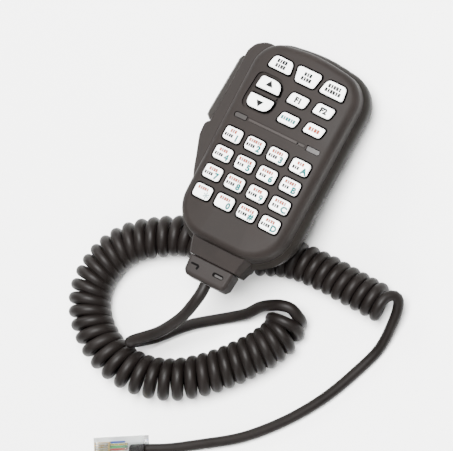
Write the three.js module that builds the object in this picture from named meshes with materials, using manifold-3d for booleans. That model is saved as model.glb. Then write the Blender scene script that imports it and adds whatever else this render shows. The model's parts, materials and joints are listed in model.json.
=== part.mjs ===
// Hand microphone with a keypad on its face, a curly cord and an eight-way modular plug.
//
// Millimetres. The microphone is drawn level, in a frame of its own: X to its right, Y to its
// top end, Z out of its face, and its flat back on Z = 0. The whole microphone is then tipped,
// so that it lies on its hanger stud with its lower end lifted over the curly cord, and moved
// until the centre of its box stands just beyond the origin. The cord is drawn in the final frame, on
// the surface Z = 0.

import * as THREE from 'three';
import { mergeVertices } from 'three/addons/utils/BufferGeometryUtils.js';
import { ConvexGeometry } from 'three/addons/geometries/ConvexGeometry.js';
import Module from 'manifold-3d';

const wasm = await Module();
wasm.setup();

// Driving dimensions of the microphone.
const TIP_ANGLE = THREE.MathUtils.degToRad(12);
const REST_Y = 0.39; // the centre of the tipped microphone, beyond the origin
const GAP = 0.3; // between neighbouring pieces
const FACE_Z = 26; // crest of the face above the flat back
const CROWN_RADIUS = 150; // the face is crowned from side to side
const PARTING_Z = 16.5; // the plane where the front and back cases meet
const WALL = 1.8;
const HALF_WIDTH = 25;
const TOP_Y = 51.8;
const CHIN_Y = -36.3;
const TOP_CORNER = 12.4;
const CHIN_CORNER = 16;

// The neck below the chin, and the rubber gland at its end.
const NECK_END_Y = -42.5;
const NECK_FRONT_Z = 21.5;
const NECK_TIP_Z = 20;
const NECK_BACK_Z = 7.6;
const GLAND_END_Y = -51.2;
const GLAND_Z = [9.5, NECK_TIP_Z];

// Keys and what is under them.
const KEY_GAP = 0.55; // between a key's cap and its outline below
const KEY_MOUTH = 0.2; // how far the hole for a key runs past that outline
const KEY_TRAVEL = 0.8;
const KEY_PROUD = 0.7;
const KEY_BOTTOM_Z = 21.9;
const KEY_LIP = 0.5; // how far the lip under the face runs past the outline
const PAD_PITCH = [10.67, 8.72];
const PAD_HOLE = [9.15, 6.7];
const PAD_TOP_Y = 7.4;
const MAT_Z = [18.6, 19.6];
const NUB_TOP_Z = KEY_BOTTOM_Z - KEY_TRAVEL - GAP;
const BOARD_Z = [16.7, 18.2];
const BOARD_X = 19.4;
const BOARD_Y = [-23.5, 44.5];
const LAMP_Y = 15.75;
const LAMP_X = [-17.1, 17.4];
const MIC_HOLE = [10.3, LAMP_Y];

// Press-to-talk bar on the left side, with its pin at the lower end.
const BAY_Z = [7, 19.4];
const NOTCH_Z = [8, 18.3];
const NOTCH_Y = [9.4, 40.3];
const NOTCH_X = -27.6;
const BAR_Z = [8.3, 18];
const PIN = [-29.4, 12.4];
const PIN_RADIUS = 0.8;
const BOOT_Y = 26;
const BOOT_Z = 12.6;

// Case screws and the hanger stud.
const CASE_SCREWS = [[-22.3, 40], [22.3, 40], [-16.5, -27.5], [16.5, -27.5]];
const SCREW_SEAT_Z = 9;
const SCREW_TIP_Z = 21.6;
const STUD_Y = 22;
const STUD_HEIGHT = 4.9;

// Three shallow scallops for the fingertips, on the right side of the back case.
const GRIP_Y = [1.4, -4.9, -11.2];
const GRIP_RADIUS = 8;

// Cord, its curly part and the plug. The cord's points lie in the final frame.
const CORD_RADIUS = 2.4;
const CURL_RADIUS = 9;
const PLUG_LENGTH = 22.4;
const PLUG_HALF = 5.85;
const PLUG_HIGH = 6.5;
const PLUG_REAR = [-2.6, -128.75, 0];
const PLUG_TURN = Math.PI + 0.504;
const MIC_TAIL = [
  [3.6, -50.65, 35.7], [3.6, -54.5, 36.4], [2.6, -58.6, 36], [-1.1, -66.5, 32], [-6, -73.2, 27.8],
  [-10.8, -78.6, 24.6], [-15.4, -82.6, 22.9], [-20.3, -86.6, 21.3], [-23.1, -89, 17.6],
  [-23.7, -89.3, 12.6], [-22.6, -88.2, 7.6], [-20.4, -86.3, 3.9], [-16.6, -82.6, 2.6],
  [-11.5, -77.3, 2.5], [-6.5, -72.8, 2.5], [-1.8, -69.4, 2.5], [2.9, -66.2, 2.6], [9.2, -61.9, 3.4],
  [14.5, -58, 5.4], [19.8, -52.6, 9], [25, -48.2, 12.2], [29.8, -45.4, 12.3], [32, -46.2, 10.2],
  [31.9, -50.5, 9.1],
];
const CURL = [
  [32, -51.4], [33, -57.2], [32, -60.8], [27.7, -68.5], [22.5, -75], [17.8, -80.4], [13.1, -85],
  [7.2, -90.1], [-1.9, -96.1], [-12.2, -100], [-23.3, -101], [-34.4, -98.4], [-43.2, -92.7],
  [-49, -85.6], [-52, -76.5], [-51, -66.2], [-47, -57.2], [-41.1, -50.7], [-34.2, -46.1],
  [-28, -42.5], [-22.1, -40.2], [1.2, -37], [24.1, -29.1], [38.8, -28], [50.3, -28.4],
  [61.7, -28.8], [67.4, -28.9],
];
const PLUG_TAIL = [
  [68, -28.9, 9.1], [71, -29.6, 8.8], [73, -32.8, 7], [73, -39, 4], [71.2, -47.5, 2.5],
  [65.7, -61.9, 2.5], [59.4, -74.4, 2.5], [51.2, -86.6, 2.5], [41.9, -97.5, 2.5],
  [32.2, -106.6, 2.5], [17.6, -116.7, 2.5], [6.2, -124.1, 2.8], [-2.3, -128.6, 3.2],
];

const MATERIALS = {
  case: { color: 0x54504d, roughness: 0.62, metalness: 0 },
  keys: { color: 0xf2f1ee, roughness: 0.45, metalness: 0 },
  bar: { color: 0x3b3835, roughness: 0.55, metalness: 0 },
  rubber: { color: 0x35322f, roughness: 0.7, metalness: 0 },
  mat: { color: 0xb9b6b0, roughness: 0.6, metalness: 0 },
  board: { color: 0x1f5a37, roughness: 0.5, metalness: 0 },
  chip: { color: 0x222222, roughness: 0.5, metalness: 0 },
  steel: { color: 0xb5b6b8, roughness: 0.3, metalness: 1 },
  lens: { color: 0x8a8580, roughness: 0.25, metalness: 0 },
  cord: { color: 0x3f3b38, roughness: 0.5, metalness: 0 },
  clear: { color: 0xe6ebec, roughness: 0.15, metalness: 0 },
  gold: { color: 0xd8ae4e, roughness: 0.3, metalness: 1 },
};

// ---------------------------------------------------------------- helpers

function toSolid(geometry) {
  const bare = geometry.clone();
  bare.deleteAttribute('normal');
  bare.deleteAttribute('uv');
  const merged = mergeVertices(bare, 1e-4);
  return new wasm.Manifold(new wasm.Mesh({
    numProp: 3,
    vertProperties: new Float32Array(merged.attributes.position.array),
    triVerts: new Uint32Array(merged.index.array),
  }));
}

function toGeometry(solid) {
  const mesh = solid.getMesh();
  const geometry = new THREE.BufferGeometry();
  geometry.setAttribute('position', new THREE.BufferAttribute(mesh.vertProperties, 3));
  geometry.setIndex(new THREE.BufferAttribute(mesh.triVerts, 1));
  geometry.computeVertexNormals();
  return geometry;
}

// An upright prism over a THREE.Shape, from z0 to z1.
function prism(shape, z0, z1, curveSegments = 3) {
  const geometry = new THREE.ExtrudeGeometry(shape, {
    depth: z1 - z0, bevelEnabled: false, curveSegments,
  });
  return toSolid(geometry.translate(0, 0, z0));
}

function box(x, y, z) {
  const geometry = new THREE.BoxGeometry(x[1] - x[0], y[1] - y[0], z[1] - z[0]);
  return toSolid(geometry.translate((x[0] + x[1]) / 2, (y[0] + y[1]) / 2, (z[0] + z[1]) / 2));
}

// An upright cylinder at x, y.
function post(x, y, z0, z1, radius, sides = 16) {
  const geometry = new THREE.CylinderGeometry(radius, radius, z1 - z0, sides);
  return toSolid(geometry.rotateX(Math.PI / 2).translate(x, y, (z0 + z1) / 2));
}

// The solid turned from a profile of [radius, height] pairs, with its axis along Z.
function turned(profile, sides = 20) {
  const points = profile.map(([radius, height]) => new THREE.Vector2(radius, height));
  return toSolid(new THREE.LatheGeometry(points, sides).rotateX(Math.PI / 2));
}

function hull(points) {
  return toSolid(new ConvexGeometry(points));
}

// A closed round tube along a curve.
function tube(curve, radius, sides, steps) {
  const ring = new THREE.Shape();
  for (let i = 0; i < sides; i += 1) {
    const angle = (i * 2 * Math.PI) / sides;
    const x = radius * Math.cos(angle);
    const y = radius * Math.sin(angle);
    if (i === 0) ring.moveTo(x, y);
    else ring.lineTo(x, y);
  }
  ring.closePath();
  return toSolid(new THREE.ExtrudeGeometry(ring, { steps, extrudePath: curve, bevelEnabled: false }));
}

function join(...solids) {
  return solids.reduce((sum, next) => sum.add(next));
}

// A polygon whose corners are rounded, moved inwards by inset. Corners run anticlockwise and
// each is [x, y, radius].
function roundedPolygon(corners, inset = 0) {
  const count = corners.length;
  const moved = corners.map(([x, y], i) => {
    const before = corners[(i + count - 1) % count];
    const after = corners[(i + 1) % count];
    const a = new THREE.Vector2(x - before[0], y - before[1]).normalize();
    const b = new THREE.Vector2(after[0] - x, after[1] - y).normalize();
    const slide = inset / (a.x * b.y - a.y * b.x);
    return new THREE.Vector2(x + (b.x - a.x) * slide, y + (b.y - a.y) * slide);
  });
  const shape = new THREE.Shape();
  moved.forEach((corner, i) => {
    const before = moved[(i + count - 1) % count];
    const after = moved[(i + 1) % count];
    const radius = Math.max(corners[i][2] - inset, 0.2);
    const enter = corner.clone().lerp(before, radius / corner.distanceTo(before));
    const leave = corner.clone().lerp(after, radius / corner.distanceTo(after));
    if (i === 0) shape.moveTo(enter.x, enter.y);
    else shape.lineTo(enter.x, enter.y);
    shape.quadraticCurveTo(corner.x, corner.y, leave.x, leave.y);
  });
  shape.closePath();
  return shape;
}

function rectangle(x0, x1, y0, y1, radius) {
  return [[x0, y0, radius], [x1, y0, radius], [x1, y1, radius], [x0, y1, radius]];
}

const root = new THREE.Group();
const microphone = new THREE.Group();
root.add(microphone);

function addPiece(name, material, solid, group = microphone) {
  const geometry = solid.isBufferGeometry ? solid : toGeometry(solid);
  const mesh = new THREE.Mesh(geometry, new THREE.MeshStandardMaterial(MATERIALS[material]));
  mesh.name = name;
  group.add(mesh);
  return mesh;
}

// ---------------------------------------------------------------- case shape

// How far the crowned face lies below its crest at x.
function crownDrop(x) {
  return (x * x) / (2 * CROWN_RADIUS);
}

// Everything under the crowned face, moved down by depth: a long cylinder along Y.
function underFace(depth) {
  const geometry = new THREE.CylinderGeometry(CROWN_RADIUS - depth, CROWN_RADIUS - depth, 140, 200);
  return toSolid(geometry.translate(0, 0, FACE_Z - CROWN_RADIUS));
}

// The outline of the case in plan, moved outwards by offset, with its chin raised by lift.
function caseOutline(offset, lift = 0) {
  const side = HALF_WIDTH + offset;
  const top = TOP_Y + offset;
  const chin = CHIN_Y - offset + lift;
  const topCorner = TOP_CORNER + offset;
  const chinCorner = CHIN_CORNER + offset;
  const arch = 1.2;
  const waist = 0.5;
  const shape = new THREE.Shape();
  shape.moveTo(side - waist, chin + chinCorner);
  shape.lineTo(side, top - arch - topCorner);
  shape.absarc(side - topCorner, top - arch - topCorner, topCorner, 0, Math.PI / 2);
  shape.quadraticCurveTo(0, top + arch, topCorner - side, top - arch);
  shape.absarc(topCorner - side, top - arch - topCorner, topCorner, Math.PI / 2, Math.PI);
  shape.lineTo(waist - side, chin + chinCorner);
  shape.absarc(chinCorner - side + waist, chin + chinCorner, chinCorner, Math.PI, Math.PI * 1.5);
  shape.lineTo(side - waist - chinCorner, chin);
  shape.absarc(side - waist - chinCorner, chin + chinCorner, chinCorner, Math.PI * 1.5, Math.PI * 2);
  return shape.getPoints(6);
}

// The convex solid through the case outline at several levels of { z, offset, lift }. With
// crowned set, the levels above the parting plane follow the crown of the face.
function caseBody(levels, crowned) {
  const points = [];
  for (const { z, offset, lift } of levels) {
    const share = crowned ? Math.max(0, (z - PARTING_Z) / (FACE_Z - PARTING_Z)) : 0;
    for (const p of caseOutline(offset, lift)) {
      points.push(new THREE.Vector3(p.x, p.y, z - share * crownDrop(p.x)));
    }
  }
  return hull(points);
}

// Points at both sides of the neck at y, for a section given as [half width, z] pairs.
function section(y, pairs) {
  return pairs.flatMap(([x, z]) => [new THREE.Vector3(x, y, z), new THREE.Vector3(-x, y, z)]);
}

// The whole neck: it slopes down from the chin, and is widest near its back.
const NECK = hull([
  ...section(-30, [[13.5, 22.3], [15.6, 11], [14.4, 8.6], [12.6, NECK_BACK_Z], [14.6, 18]]),
  ...section(-36.6, [[11.9, NECK_FRONT_Z], [14.6, 11], [13.4, 8.6], [11.6, NECK_BACK_Z], [13.5, 18]]),
  ...section(NECK_END_Y, [[10.2, NECK_TIP_Z], [12.4, 11], [11.6, 8.8], [10.2, NECK_BACK_Z], [11.6, 18]]),
]);
const NECK_CAVITY = hull([
  ...section(-28, [[11.5, 19.6], [12.5, 9.4]]),
  ...section(NECK_END_Y + WALL, [[8.9, 18.9], [10.2, 9.4]]),
]);
const NECK_MOUTH = box([-7.4, 7.4], [NECK_END_Y - 1, NECK_END_Y + WALL + 1], [11, 18.4]);

// The press-to-talk bay, in plan, and the notch that the bar moves in.
const BAY = [
  [-20, -16, 0.5], [-20, 48.6, 0.5], [-24.6, 48.6, 3], [-28.6, 45.8, 2], [-30.3, 42.2, 1.5],
  [-30.5, 9.2, 0.4], [-32, 7.6, 1.2], [-31.8, 2.4, 2.5], [-28.7, -5.6, 4], [-26.4, -12.6, 4],
  [-24.4, -16, 1],
];
const NOTCH = box([-40, NOTCH_X], NOTCH_Y, NOTCH_Z);

const ABOVE = box([-60, 60], [-80, 80], [PARTING_Z, 60]);
const BELOW = box([-60, 60], [-80, 80], [-20, PARTING_Z - GAP]);

// The bay with its front and back edges eased.
function bayBody() {
  const eased = 0.8;
  const geometry = new THREE.ExtrudeGeometry(roundedPolygon(BAY, eased), {
    depth: BAY_Z[1] - BAY_Z[0] - 2 * eased,
    bevelThickness: eased,
    bevelSize: eased,
    bevelSegments: 1,
    curveSegments: 3,
  });
  return toSolid(geometry.translate(0, 0, BAY_Z[0] + eased));
}

// ---------------------------------------------------------------- keys

// Hole outlines of the nine keys above the lamps, as rounded polygons.
const UPPER_KEYS = {
  left_top_key: [[-17.7, 38.6, 1.8], [-5.4, 38.4, 1.8], [-6.5, 44.8, 2.2], [-16.2, 45.2, 2.8]],
  middle_top_key: [[-3.7, 37.5, 1.8], [6, 37.5, 1.8], [7.5, 45.2, 2.3], [-5.4, 45.2, 2.3]],
  right_top_key: [[7.3, 37.8, 1.8], [19.5, 37.8, 1.8], [18.5, 45, 2.4], [9, 45, 2.6]],
  up_key: [[-18, 29, 0.9], [-5.9, 29, 0.9], [-5.9, 35.3, 5], [-17.2, 35.3, 2]],
  down_key: [[-18.5, 20.4, 3.4], [-6, 20.4, 5], [-6, 27, 0.9], [-18.3, 27, 0.9]],
  first_function_key: [[-3, 28.4, 1.6], [6.3, 28.4, 2], [7.3, 34.2, 1.6], [-1.9, 34.2, 2]],
  second_function_key: [[8.8, 29.1, 1.6], [17.8, 29.1, 2], [18.8, 34.9, 1.6], [9.9, 34.9, 2]],
  tone_key: [[-2.8, 19.8, 1.6], [6.3, 19.8, 2], [7.4, 25.4, 1.6], [-1.6, 25.4, 2]],
  function_key: [[9, 20.5, 1.6], [18, 20.5, 2], [19, 26.1, 1.6], [10.1, 26.1, 2]],
};

// The keypad's sixteen keys, row by row from the top.
const PAD_ROWS = [
  ['key_1', 'key_2', 'key_3', 'key_a'],
  ['key_4', 'key_5', 'key_6', 'key_b'],
  ['key_7', 'key_8', 'key_9', 'key_c'],
  ['key_star', 'key_0', 'key_hash', 'key_d'],
];

function padKeys() {
  const keys = {};
  PAD_ROWS.forEach((row, j) => {
    row.forEach((name, i) => {
      const x = (i - 1.5) * PAD_PITCH[0];
      const y = PAD_TOP_Y - j * PAD_PITCH[1];
      const [w, h] = [PAD_HOLE[0] / 2, PAD_HOLE[1] / 2];
      keys[name] = rectangle(x - w, x + w, y - h, y + h, 2);
    });
  });
  return keys;
}

const KEYS = { ...UPPER_KEYS, ...padKeys() };

function centreOf(corners) {
  const x = corners.reduce((sum, corner) => sum + corner[0], 0) / corners.length;
  const y = corners.reduce((sum, corner) => sum + corner[1], 0) / corners.length;
  return [x, y];
}

// A key: a cap that follows the crown of the face, over a lip that stays under the face.
function keySolid(corners) {
  const [centreX] = centreOf(corners);
  const top = FACE_Z + KEY_PROUD - crownDrop(centreX);
  const edge = 0.35;
  const cap = new THREE.ExtrudeGeometry(roundedPolygon(corners, KEY_GAP + edge), {
    depth: top - edge - KEY_BOTTOM_Z - GAP,
    bevelThickness: edge,
    bevelSize: edge,
    bevelSegments: 1,
    curveSegments: 4,
  });
  cap.translate(0, 0, KEY_BOTTOM_Z + GAP);
  const place = cap.attributes.position;
  for (let k = 0; k < place.count; k += 1) {
    if (place.getZ(k) < FACE_Z - 2) continue;
    place.setZ(k, place.getZ(k) + crownDrop(centreX) - crownDrop(place.getX(k)));
  }
  const lip = prism(roundedPolygon(corners, -KEY_LIP), KEY_BOTTOM_Z, FACE_Z, 2)
    .intersect(underFace(WALL + GAP));
  return lip.add(toSolid(cap));
}

// ---------------------------------------------------------------- cases

const POD = [[-20.4, 19.5, 4.2], [-5, 19.5, 5.8], [-5, 36.2, 5.8], [-19.2, 36.2, 3]];
const POD_BAR = rectangle(-18.4, -6.4, 27.35, 28.65, 0.4);

function frontCase() {
  const [edgeHigh, edgeWide] = [4, 3.4];
  const rim = FACE_Z - edgeHigh;
  const levels = [{ z: PARTING_Z, offset: 0 }];
  for (let step = 0; step <= 6; step += 1) {
    const angle = (step * Math.PI) / 12;
    levels.push({
      z: rim + edgeHigh * Math.sin(angle),
      offset: -0.3 - edgeWide * (1 - Math.cos(angle)),
    });
  }
  const cavity = caseBody([
    { z: PARTING_Z - 1, offset: -WALL - 0.3 },
    { z: FACE_Z - 4, offset: -WALL - 0.9 },
    { z: FACE_Z - WALL, offset: -WALL - 1.3 },
  ], true);
  const core = caseBody(levels.map(({ z, offset }) => ({ z: z - 1, offset: offset - 0.8 })), true);
  let shell = join(caseBody(levels, true), bayBody().intersect(ABOVE), NECK.intersect(ABOVE));
  shell = shell.subtract(cavity).subtract(NECK_CAVITY).subtract(NECK_MOUTH).subtract(NOTCH);
  for (const [x, y] of CASE_SCREWS) {
    const boss = post(x, y, PARTING_Z, FACE_Z - 1, 2.1, 14).intersect(core);
    shell = shell.add(boss).subtract(post(x, y, 10, SCREW_TIP_Z + GAP, 1 + GAP, 12));
  }
  const pod = prism(roundedPolygon(POD), 20, 30, 4).subtract(underFace(1.1));
  shell = shell.subtract(pod.subtract(prism(roundedPolygon(POD_BAR), 10, 40)));
  const groove = prism(roundedPolygon(rectangle(-14, 14.3, 15, 16.5, 0.2)), 20, 30);
  shell = shell.subtract(groove.subtract(underFace(0.4)));
  for (const corners of Object.values(KEYS)) {
    shell = shell.subtract(prism(roundedPolygon(corners, -KEY_MOUTH), 20, 30, 4));
  }
  for (const x of LAMP_X) {
    shell = shell.subtract(prism(roundedPolygon(lampCorners(x)), 20, 30));
  }
  shell = shell.subtract(post(...MIC_HOLE, 20, 30, 0.6, 10));
  return shell.subtract(post(...PIN, 10, BAR_Z[1] + 0.9, PIN_RADIUS + GAP, 12));
}

function backCase() {
  const outer = caseBody([
    { z: PARTING_Z - GAP, offset: 0.3 },
    { z: 15.2, offset: 1.3 },
    { z: 13.4, offset: 2 },
    { z: 9, offset: 1.9, lift: 1.5 },
    { z: 5, offset: 0.2, lift: 5 },
    { z: 2, offset: -2.8, lift: 11 },
    { z: 0, offset: -7, lift: 20 },
  ], false);
  const cavity = caseBody([
    { z: PARTING_Z + 1, offset: -WALL },
    { z: 9, offset: -0.2, lift: 2 },
    { z: 5.4, offset: -2, lift: 7 },
    { z: WALL, offset: -6, lift: 19 },
  ], false);
  let shell = join(outer, bayBody().intersect(BELOW), NECK.intersect(BELOW));
  for (const y of GRIP_Y) {
    shell = shell.subtract(post(HALF_WIDTH + 1.5 + GRIP_RADIUS, y, -1, 30, GRIP_RADIUS, 40));
  }
  shell = shell.subtract(cavity).subtract(NECK_CAVITY).subtract(NECK_MOUTH).subtract(NOTCH);
  for (const [x, y] of CASE_SCREWS) {
    const column = post(x, y, 0, PARTING_Z - GAP, 3.4, 14).intersect(outer);
    shell = shell.add(column).subtract(post(x, y, -5, SCREW_SEAT_Z, 2.5, 16));
    shell = shell.subtract(post(x, y, 0, 20, 1 + GAP, 12));
  }
  for (const [x, y] of [[-14, 33], [14, 33], [-14, -15], [14, -15]]) {
    shell = shell.add(post(x, y, WALL - 1, BOARD_Z[0] - GAP, 1.5, 10));
  }
  shell = shell.add(post(0, STUD_Y, 1, 7.4, 3.6, 14)).subtract(post(0, STUD_Y, -1, 6.2, 1 + GAP, 12));
  const bootHole = new THREE.CylinderGeometry(1.8, 1.8, 12, 12).rotateZ(Math.PI / 2);
  shell = shell.subtract(toSolid(bootHole.translate(-25, BOOT_Y, BOOT_Z)));
  return shell.subtract(post(...PIN, BAR_Z[0] - 0.9, 14, PIN_RADIUS + GAP, 12));
}

// ---------------------------------------------------------------- face details


// A lamp window is square towards the middle of the face and round at its outer end.
function lampCorners(x, inset = 0) {
  const half = 3.1 - inset;
  const high = 1.2 - inset;
  const round = high * 0.95;
  const near = 0.3;
  const left = x < 0 ? round : near;
  const right = x < 0 ? near : round;
  return [
    [x - half, LAMP_Y - high, left], [x + half, LAMP_Y - high, right],
    [x + half, LAMP_Y + high, right], [x - half, LAMP_Y + high, left],
  ];
}

function lampLens(x) {
  const window = prism(roundedPolygon(lampCorners(x, GAP)), 21, 30).intersect(underFace(0.2));
  const lip = prism(roundedPolygon(lampCorners(x, -0.5)), 21, 30);
  return window.add(lip.intersect(underFace(WALL + GAP)));
}

function addKeypad() {
  for (const [name, corners] of Object.entries(KEYS)) {
    addPiece(name, 'keys', keySolid(corners));
  }
  let mat = prism(roundedPolygon(rectangle(-BOARD_X, BOARD_X, ...BOARD_Y, 4)), ...MAT_Z);
  for (const corners of Object.values(KEYS)) {
    mat = mat.add(post(...centreOf(corners), MAT_Z[0], NUB_TOP_Z, 1.6, 8));
  }
  for (const x of LAMP_X) {
    mat = mat.subtract(box([x - 1.7, x + 1.7], [LAMP_Y - 1.2, LAMP_Y + 1.2], [15, 25]));
  }
  addPiece('key_mat', 'mat', mat);
}

function addFaceDetails() {
  ['left', 'right'].forEach((side, i) => {
    const x = LAMP_X[i];
    addPiece(`${side}_lamp_lens`, 'lens', lampLens(x));
    const led = box([x - 1, x + 1], [LAMP_Y - 0.6, LAMP_Y + 0.6], [BOARD_Z[1] + GAP, MAT_Z[1]]);
    addPiece(`${side}_led`, 'keys', led);
  });
  const boot = [[2.6, 20.1], [3.1, 20.1], [3.1, 23.4], [2.6, 23.4], [2.6, 20.1]];
  addPiece('capsule_boot', 'rubber', turned(boot, 16).translate([...MIC_HOLE, 0]));
  addPiece('microphone_capsule', 'steel', post(...MIC_HOLE, 20.3, 23, 2.3, 16));
}

// ---------------------------------------------------------------- press-to-talk bar

function addTalkBar() {
  const outer = [[-32.2, 39.6], [-33, 38.2], [-34.2, 13.6], [-34, 11.4], [-32.3, 9.9]];
  const inner = [[-30.9, 39.6], [-30.9, 9.9]];
  const levels = [[BAR_Z[0], 0.9], [BAR_Z[0] + 1.4, 0], [15.4, 0], [BAR_Z[1], 1.5]];
  const points = levels.flatMap(([z, inset]) => [
    ...outer.map(([x, y]) => new THREE.Vector3(Math.min(x + inset, inner[0][0]), y, z)),
    ...inner.map(([x, y]) => new THREE.Vector3(x, y, z)),
  ]);
  const ear = [[-31.2, 14.6, 0.3], [-31.2, 10.1, 0.3], [-28.5, 10.6, 0.9], [-28.2, 13.8, 0.9]];
  const flange = rectangle(-31.2, -29.7, 10.4, 39.2, 0.3);
  const bar = hull(points)
    .add(prism(roundedPolygon(ear), BAR_Z[0], BAR_Z[1]))
    .add(prism(roundedPolygon(flange), BAR_Z[0], BAR_Z[1]));
  addPiece('talk_bar', 'bar', bar.subtract(post(...PIN, 0, 30, PIN_RADIUS + GAP, 12)));
  addPiece('talk_bar_pin', 'steel', post(...PIN, BAR_Z[0] - 0.6, BAR_Z[1] + 0.6, PIN_RADIUS, 10));
  const boot = [[0, -28.6], [1.6, -28.6], [2.5, -28.2], [2.5, -27.9], [1.5, -27.9], [1.5, -22.6],
    [0, -22.6]];
  const stem = boot.map(([radius, x]) => new THREE.Vector2(radius, x));
  const lathe = new THREE.LatheGeometry(stem, 12).rotateZ(-Math.PI / 2);
  addPiece('talk_switch_boot', 'rubber', toSolid(lathe.translate(0, BOOT_Y, BOOT_Z)));
  const body = box([-21, -15.5], [BOOT_Y - 3, BOOT_Y + 3], [10.2, BOARD_Z[0] - GAP]);
  const tip = box([-22.2, -20.5], [BOOT_Y - 1, BOOT_Y + 1], [BOOT_Z - 1, BOOT_Z + 1]);
  addPiece('talk_switch', 'chip', body.add(tip));
}

// ---------------------------------------------------------------- board, gland and fasteners

function addBoard() {
  const outline = roundedPolygon(rectangle(-BOARD_X, BOARD_X, ...BOARD_Y, 4));
  addPiece('circuit_board', 'board', prism(outline, ...BOARD_Z));
  const under = BOARD_Z[0] - GAP;
  addPiece('processor_chip', 'chip', box([-2, 8], [1, 11], [under - 1.4, under]));
  addPiece('crystal', 'steel', box([-11, -6], [3, 5.4], [under - 1.8, under]));
  addPiece('filter_capacitor', 'chip', post(12, 22, under - 6, under, 2.5, 14));
  addPiece('cord_connector', 'lens', box([-8.5, 8.5], [-17, -12], [under - 5, under]));
}

function addGland() {
  const block = hull([
    ...section(NECK_END_Y - GAP, [[9.6, GLAND_Z[1]], [10.3, 18.9], [10.3, 10.8], [8.8, GLAND_Z[0]]]),
    ...section(GLAND_END_Y + 1.8, [[9, GLAND_Z[1]], [9.9, 18.9], [9.9, 10.8], [8.3, GLAND_Z[0]]]),
    ...section(GLAND_END_Y, [[7.8, GLAND_Z[1] - 0.9], [8.6, 18], [8.6, 11.6], [6.8, GLAND_Z[0] + 0.9]]),
  ]);
  const throat = box([-6.9, 6.9], [NECK_END_Y - 1, NECK_END_Y + WALL + 1.2], [11.4, 18]);
  const flange = box([-8.3, 8.3], [NECK_END_Y + WALL + GAP, NECK_END_Y + WALL + 2.3], [10, 18.4]);
  addPiece('cord_gland', 'rubber', join(block, throat, flange));
}

function addInnerLead(centreZ) {
  const route = new THREE.CatmullRomCurve3([
    new THREE.Vector3(0, NECK_END_Y + WALL + 2.7, centreZ - 0.4),
    new THREE.Vector3(0, -30, centreZ - 1.6),
    new THREE.Vector3(0, -17.4, 13.4),
  ]);
  addPiece('inner_lead', 'cord', tube(route, CORD_RADIUS, 8, 6));
}

function addFasteners() {
  CASE_SCREWS.forEach(([x, y], i) => {
    const head = post(x, y, SCREW_SEAT_Z - 2.1, SCREW_SEAT_Z - GAP, 2.2, 14);
    const slot = box([x - 1.6, x + 1.6], [y - 0.3, y + 0.3], [0, SCREW_SEAT_Z - 1.4]);
    const cross = box([x - 0.3, x + 0.3], [y - 1.6, y + 1.6], [0, SCREW_SEAT_Z - 1.4]);
    const shank = post(x, y, SCREW_SEAT_Z - 1, SCREW_TIP_Z, 1, 10);
    addPiece(`case_screw_${i + 1}`, 'steel', head.subtract(slot).subtract(cross).add(shank));
  });
  const end = -STUD_HEIGHT;
  const stud = turned([
    [1.3, -3.2], [2.9, -3.2], [2.9, end], [5.7, end], [6.2, end + 0.5], [6.2, -2.8], [3.4, -2.5],
    [3.4, -1.3], [4.6, -1], [4.6, -GAP], [1.3, -GAP], [1.3, -3.2],
  ], 16);
  addPiece('hanger_stud', 'steel', stud.translate([0, STUD_Y, 0]));
  const head = post(0, STUD_Y, end + 0.2, -3.2 - GAP, 2.5, 14);
  const slot = box([-3, 3], [STUD_Y - 0.4, STUD_Y + 0.4], [-9, end + 0.8]);
  const shank = post(0, STUD_Y, -4, 5.8, 1, 10);
  addPiece('stud_screw', 'steel', head.subtract(slot).add(shank));
}

// ---------------------------------------------------------------- cord and plug

function curveThrough(points) {
  return new THREE.CatmullRomCurve3(points.map((point) => new THREE.Vector3(...point)), false, 'centripetal');
}

function addCord() {
  const curl = CURL.map(([x, y]) => [x, y, CURL_RADIUS + 0.05]);
  addPiece('cord_mic_tail', 'cord', tube(curveThrough(MIC_TAIL), CORD_RADIUS, 8, 46), root);
  addPiece('cord_curl', 'cord', tube(curveThrough(curl), CURL_RADIUS, 12, 34), root);
  addPiece('cord_plug_tail', 'cord', tube(curveThrough(PLUG_TAIL), CORD_RADIUS, 8, 26), root);
}

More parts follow.
